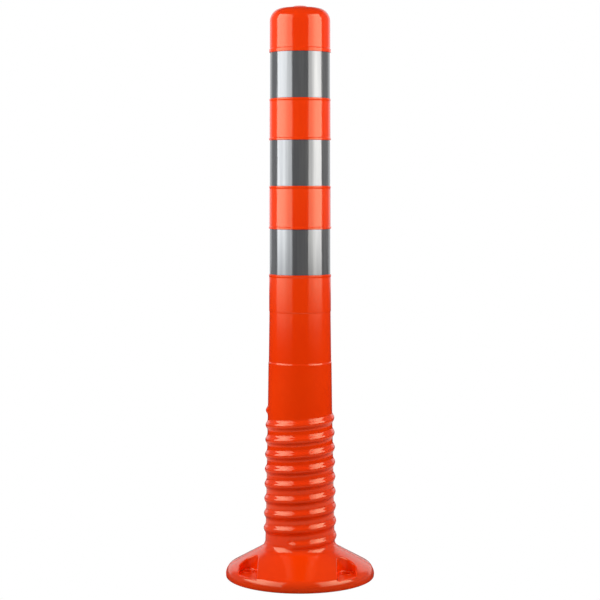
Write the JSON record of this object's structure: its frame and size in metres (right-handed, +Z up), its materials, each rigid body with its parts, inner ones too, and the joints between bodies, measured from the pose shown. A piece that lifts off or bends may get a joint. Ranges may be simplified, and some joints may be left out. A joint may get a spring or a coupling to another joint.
{
  "type": "flexible delineator post",
  "caption": "Orange flexible road delineator post with silver reflective bands, a helically ribbed bending neck and a round bolt-down flange.",
  "frame": {"origin": "centre of the flange's underside, on the road", "axes": "+Z up along the post; front towards -Y, with a bolt pocket each side of it; the third pocket is at +Y"},
  "size_m": [0.2, 0.2, 0.7628],
  "materials": {
    "orange_polyurethane": "glossy moulded thermoplastic polyurethane, traffic orange",
    "silver_tape": "metallised silver reflective sheeting"
  },
  "bodies": {
    "base": {"base_flange": "orange_polyurethane"},
    "turn_1": {"neck_turn_1": "orange_polyurethane"},
    "turn_2": {"neck_turn_2": "orange_polyurethane"},
    "turn_3": {"neck_turn_3": "orange_polyurethane"},
    "turn_4": {"neck_turn_4": "orange_polyurethane"},
    "turn_5": {"neck_turn_5": "orange_polyurethane"},
    "turn_6": {"neck_turn_6": "orange_polyurethane"},
    "turn_7": {"neck_turn_7": "orange_polyurethane"},
    "turn_8": {"neck_turn_8": "orange_polyurethane"},
    "tube": {"upper_tube": "orange_polyurethane", "tape_upper": "silver_tape", "tape_middle": "silver_tape", "tape_lower": "silver_tape"}
  },
  "joints": [
    {"name": "neck_fold_1", "type": "hinge", "parent": "base", "child": "turn_1", "pos_m": [0, 0, 0.06], "axis": [0, 1, 0], "range_deg": [-18, 18], "stiffness_Nm_per_rad": 120, "deforming": ["neck_turn_1"]},
    {"name": "neck_sway_1", "type": "hinge", "parent": "turn_1", "child": "turn_2", "pos_m": [0, 0, 0.08], "axis": [1, 0, 0], "range_deg": [-11.25, 11.25], "stiffness_Nm_per_rad": 96, "deforming": ["neck_turn_2"]},
    {"name": "neck_fold_2", "type": "hinge", "parent": "turn_2", "child": "turn_3", "pos_m": [0, 0, 0.1], "axis": [0, 1, 0], "range_deg": [-18, 18], "stiffness_Nm_per_rad": 120, "deforming": ["neck_turn_3"]},
    {"name": "neck_sway_2", "type": "hinge", "parent": "turn_3", "child": "turn_4", "pos_m": [0, 0, 0.12], "axis": [1, 0, 0], "range_deg": [-11.25, 11.25], "stiffness_Nm_per_rad": 96, "deforming": ["neck_turn_4"]},
    {"name": "neck_fold_3", "type": "hinge", "parent": "turn_4", "child": "turn_5", "pos_m": [0, 0, 0.14], "axis": [0, 1, 0], "range_deg": [-18, 18], "stiffness_Nm_per_rad": 120, "deforming": ["neck_turn_5"]},
    {"name": "neck_sway_3", "type": "hinge", "parent": "turn_5", "child": "turn_6", "pos_m": [0, 0, 0.16], "axis": [1, 0, 0], "range_deg": [-11.25, 11.25], "stiffness_Nm_per_rad": 96, "deforming": ["neck_turn_6"]},
    {"name": "neck_fold_4", "type": "hinge", "parent": "turn_6", "child": "turn_7", "pos_m": [0, 0, 0.18], "axis": [0, 1, 0], "range_deg": [-18, 18], "stiffness_Nm_per_rad": 120, "deforming": ["neck_turn_7"]},
    {"name": "neck_sway_4", "type": "hinge", "parent": "turn_7", "child": "turn_8", "pos_m": [0, 0, 0.2], "axis": [1, 0, 0], "range_deg": [-11.25, 11.25], "stiffness_Nm_per_rad": 96, "deforming": ["neck_turn_8"]},
    {"name": "neck_fold_5", "type": "hinge", "parent": "turn_8", "child": "tube", "pos_m": [0, 0, 0.22], "axis": [0, 1, 0], "range_deg": [-18, 18], "stiffness_Nm_per_rad": 120}
  ],
  "couplings": [
    {"joint": "neck_fold_2", "follows": "neck_fold_1", "ratio": 1},
    {"joint": "neck_sway_2", "follows": "neck_sway_1", "ratio": 1},
    {"joint": "neck_fold_3", "follows": "neck_fold_1", "ratio": 1},
    {"joint": "neck_sway_3", "follows": "neck_sway_1", "ratio": 1},
    {"joint": "neck_fold_4", "follows": "neck_fold_1", "ratio": 1},
    {"joint": "neck_sway_4", "follows": "neck_sway_1", "ratio": 1},
    {"joint": "neck_fold_5", "follows": "neck_fold_1", "ratio": 1}
  ]
}
